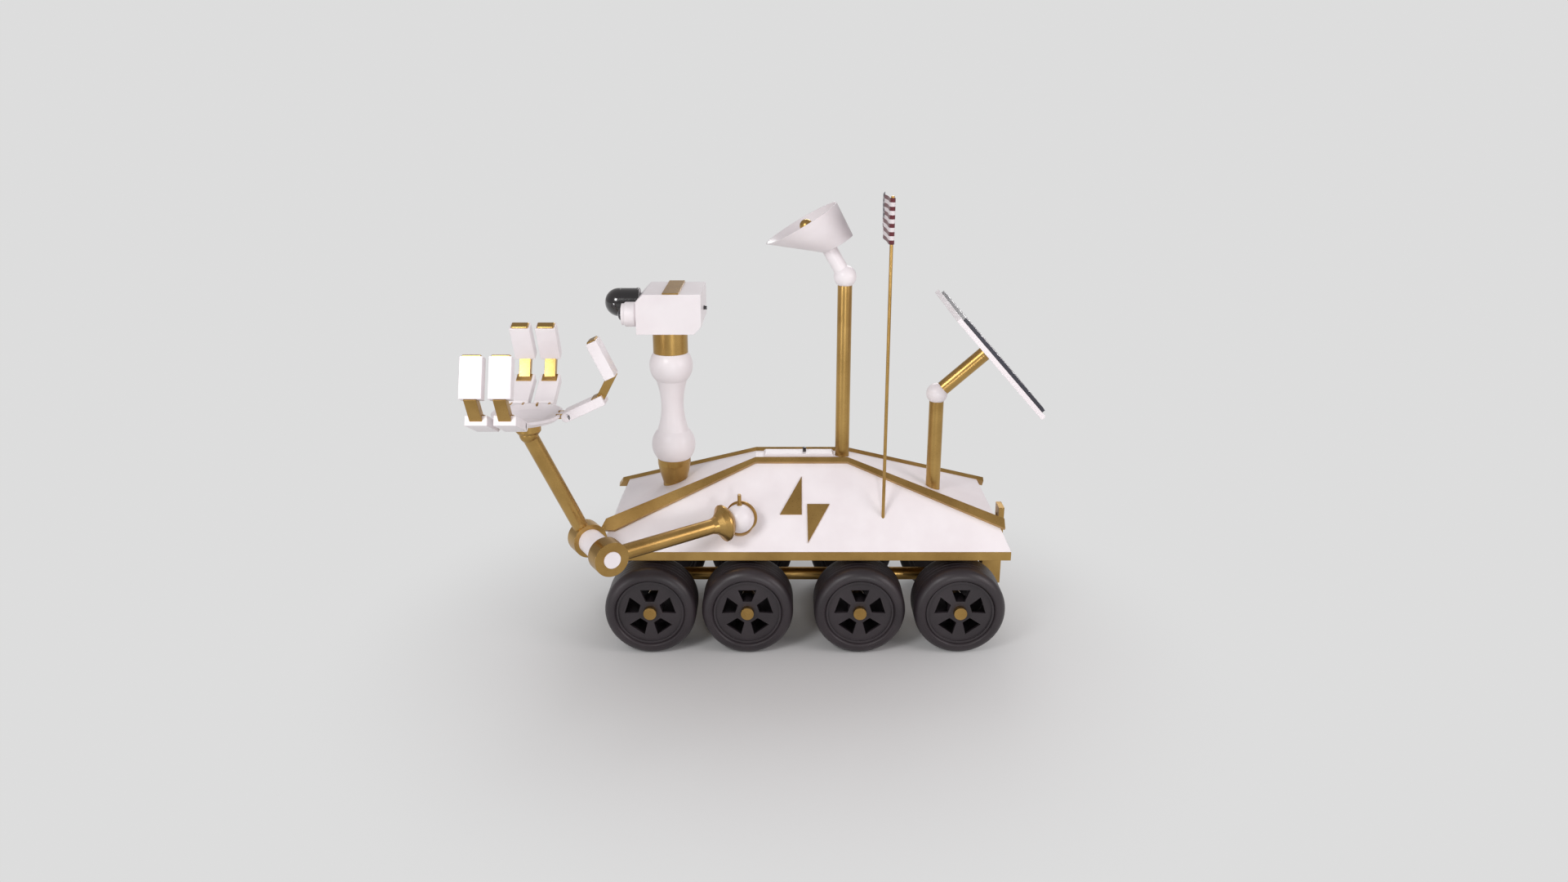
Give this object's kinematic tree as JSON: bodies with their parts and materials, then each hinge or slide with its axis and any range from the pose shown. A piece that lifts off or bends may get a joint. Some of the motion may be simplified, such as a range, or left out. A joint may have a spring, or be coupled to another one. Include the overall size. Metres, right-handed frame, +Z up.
{
  "type": "planetary rover",
  "caption": "Planetary rover with rolling wheels, a wedge-shaped hull, a camera head on a neck, a dish, a solar panel on a mast, a small flag and a folding arm with a gripping hand.",
  "frame": {"origin": "on the ground, under the middle of the whole rover at rest", "axes": "+X towards the rear, +Y from the side with the arm to the far side, +Z up"},
  "size_m": [2.797, 1.6858, 2.4539],
  "materials": {
    "white_shell": "satin white paint with a faint pink cast",
    "gold": "polished gold-coloured metal",
    "tyre": "dark rubber",
    "wheel": "dark moulded wheel",
    "lens": "glossy black lens housing",
    "cells": "dark solar cells",
    "flag_cloth": "woven cloth, striped"
  },
  "bodies": {
    "chassis": {"base_plate": "gold", "hull_sides": "white_shell", "hull_top": "white_shell", "hull_ends": "white_shell", "hull_crown": "white_shell", "trim_strips": "gold", "keel": "gold", "axles": "gold", "rear_strut": "gold", "bolt_emblem": "gold", "flag_pole": "gold", "flag": "flag_cloth", "neck_cup_lower": "gold", "shoulder_collar": "gold"},
    "neck": {"neck_column": "white_shell"},
    "head": {"neck_cup_upper": "gold", "head_box": "white_shell", "head_strap": "gold", "head_lens": "lens", "head_barrel": "white_shell"},
    "dish_mast": {"dish_mast": "gold"},
    "dish": {"dish_shell": "white_shell", "dish_feed": "gold"},
    "solar_mast": {"solar_mast": "gold"},
    "solar_panel": {"solar_ball": "white_shell", "solar_arm": "gold", "solar_frame": "white_shell", "solar_cells": "cells"},
    "shoulder": {"shoulder_ball": "white_shell"},
    "upper_arm": {"upper_arm": "gold", "elbow_spool": "white_shell"},
    "forearm": {"forearm": "gold"},
    "hand": {"wrist_cup": "gold", "palm_bowl": "white_shell"},
    "wheel_near_1": {"tyre_near_1": "tyre", "rim_near_1": "wheel"},
    "wheel_near_2": {"tyre_near_2": "tyre", "rim_near_2": "wheel"},
    "wheel_near_3": {"tyre_near_3": "tyre", "rim_near_3": "wheel"},
    "wheel_near_4": {"tyre_near_4": "tyre", "rim_near_4": "wheel"},
    "wheel_far_1": {"tyre_far_1": "tyre", "rim_far_1": "wheel"},
    "wheel_far_2": {"tyre_far_2": "tyre", "rim_far_2": "wheel"},
    "wheel_far_3": {"tyre_far_3": "tyre", "rim_far_3": "wheel"},
    "wheel_far_4": {"tyre_far_4": "tyre", "rim_far_4": "wheel"},
    "finger_thumb": {"finger_thumb": "white_shell"},
    "finger_far_rear": {"finger_far_rear": "white_shell"},
    "finger_far_front": {"finger_far_front": "white_shell"},
    "finger_near_front": {"finger_near_front": "white_shell"},
    "finger_near_rear": {"finger_near_rear": "white_shell"}
  },
  "joints": [
    {"name": "roll_near_1", "type": "hinge", "parent": "chassis", "child": "wheel_near_1", "pos_m": [-0.67228, -0.07615, 0.25], "axis": [0, 1, 0], "continuous": true},
    {"name": "roll_near_2", "type": "hinge", "parent": "chassis", "child": "wheel_near_2", "pos_m": [-0.14228, -0.07615, 0.25], "axis": [0, 1, 0], "continuous": true},
    {"name": "roll_near_3", "type": "hinge", "parent": "chassis", "child": "wheel_near_3", "pos_m": [0.47072, -0.07615, 0.25], "axis": [0, 1, 0], "continuous": true},
    {"name": "roll_near_4", "type": "hinge", "parent": "chassis", "child": "wheel_near_4", "pos_m": [1.01772, -0.07615, 0.25], "axis": [0, 1, 0], "continuous": true},
    {"name": "roll_far_1", "type": "hinge", "parent": "chassis", "child": "wheel_far_1", "pos_m": [-0.67228, 0.71386, 0.25], "axis": [0, 1, 0], "continuous": true},
    {"name": "roll_far_2", "type": "hinge", "parent": "chassis", "child": "wheel_far_2", "pos_m": [-0.14228, 0.71386, 0.25], "axis": [0, 1, 0], "continuous": true},
    {"name": "roll_far_3", "type": "hinge", "parent": "chassis", "child": "wheel_far_3", "pos_m": [0.47072, 0.71386, 0.25], "axis": [0, 1, 0], "continuous": true},
    {"name": "roll_far_4", "type": "hinge", "parent": "chassis", "child": "wheel_far_4", "pos_m": [1.01772, 0.71386, 0.25], "axis": [0, 1, 0], "continuous": true},
    {"name": "neck_pan", "type": "hinge", "parent": "chassis", "child": "neck", "pos_m": [-0.56728, 0.31885, 1.055], "axis": [0, 0, 1], "range_deg": [-60, 60]},
    {"name": "head_tilt", "type": "hinge", "parent": "neck", "child": "head", "pos_m": [-0.56728, 0.31885, 1.512], "axis": [0, 1, 0], "range_deg": [-12, 12]},
    {"name": "dish_pan", "type": "hinge", "parent": "chassis", "child": "dish_mast", "pos_m": [0.38672, 0.31885, 1.956], "axis": [0, 0, 1], "range_deg": [-60, 60]},
    {"name": "dish_tilt", "type": "hinge", "parent": "dish_mast", "child": "dish", "pos_m": [0.38672, 0.31885, 2.003], "axis": [0, 1, 0], "range_deg": [-30, 15]},
    {"name": "solar_pan", "type": "hinge", "parent": "chassis", "child": "solar_mast", "pos_m": [0.89572, 0.21885, 1.332], "axis": [0, 0, 1], "range_deg": [-30, 30]},
    {"name": "solar_tilt", "type": "hinge", "parent": "solar_mast", "child": "solar_panel", "pos_m": [0.89572, 0.21885, 1.378], "axis": [0, 1, 0], "range_deg": [-15, 30]},
    {"name": "shoulder_yaw", "type": "hinge", "parent": "chassis", "child": "shoulder", "pos_m": [-0.18228, -0.07793, 0.7592], "axis": [0, 0, 1], "range_deg": [-4, 35]},
    {"name": "shoulder_pitch", "type": "hinge", "parent": "shoulder", "child": "upper_arm", "pos_m": [-0.18228, -0.07793, 0.7592], "axis": [-0.5307, 0.8475, 0], "range_deg": [-5, 12]},
    {"name": "elbow", "type": "hinge", "parent": "upper_arm", "child": "forearm", "pos_m": [-0.97684, -0.24754, 0.716], "axis": [-0.5307, 0.8475, 0], "range_deg": [-35, 15]},
    {"name": "wrist", "type": "hinge", "parent": "forearm", "child": "hand", "pos_m": [-1.20654, -0.3914, 1.33638], "axis": [0, 0, 1], "range_deg": [-90, 90]},
    {"name": "curl_thumb", "type": "hinge", "parent": "hand", "child": "finger_thumb", "pos_m": [-1.00654, -0.3914, 1.43738], "axis": [0, -1, 0], "range_deg": [-12, 15]},
    {"name": "curl_far_rear", "type": "hinge", "parent": "hand", "child": "finger_far_rear", "pos_m": [-1.16254, -0.1914, 1.43738], "axis": [1, 0, 0], "range_deg": [-12, 15]},
    {"name": "curl_far_front", "type": "hinge", "parent": "hand", "child": "finger_far_front", "pos_m": [-1.29454, -0.1914, 1.43738], "axis": [1, 0, 0], "range_deg": [-12, 15]},
    {"name": "curl_near_front", "type": "hinge", "parent": "hand", "child": "finger_near_front", "pos_m": [-1.34654, -0.5914, 1.43738], "axis": [-1, 0, 0], "range_deg": [-12, 15]},
    {"name": "curl_near_rear", "type": "hinge", "parent": "hand", "child": "finger_near_rear", "pos_m": [-1.21454, -0.5914, 1.43738], "axis": [-1, 0, 0], "range_deg": [-12, 15]}
  ]
}
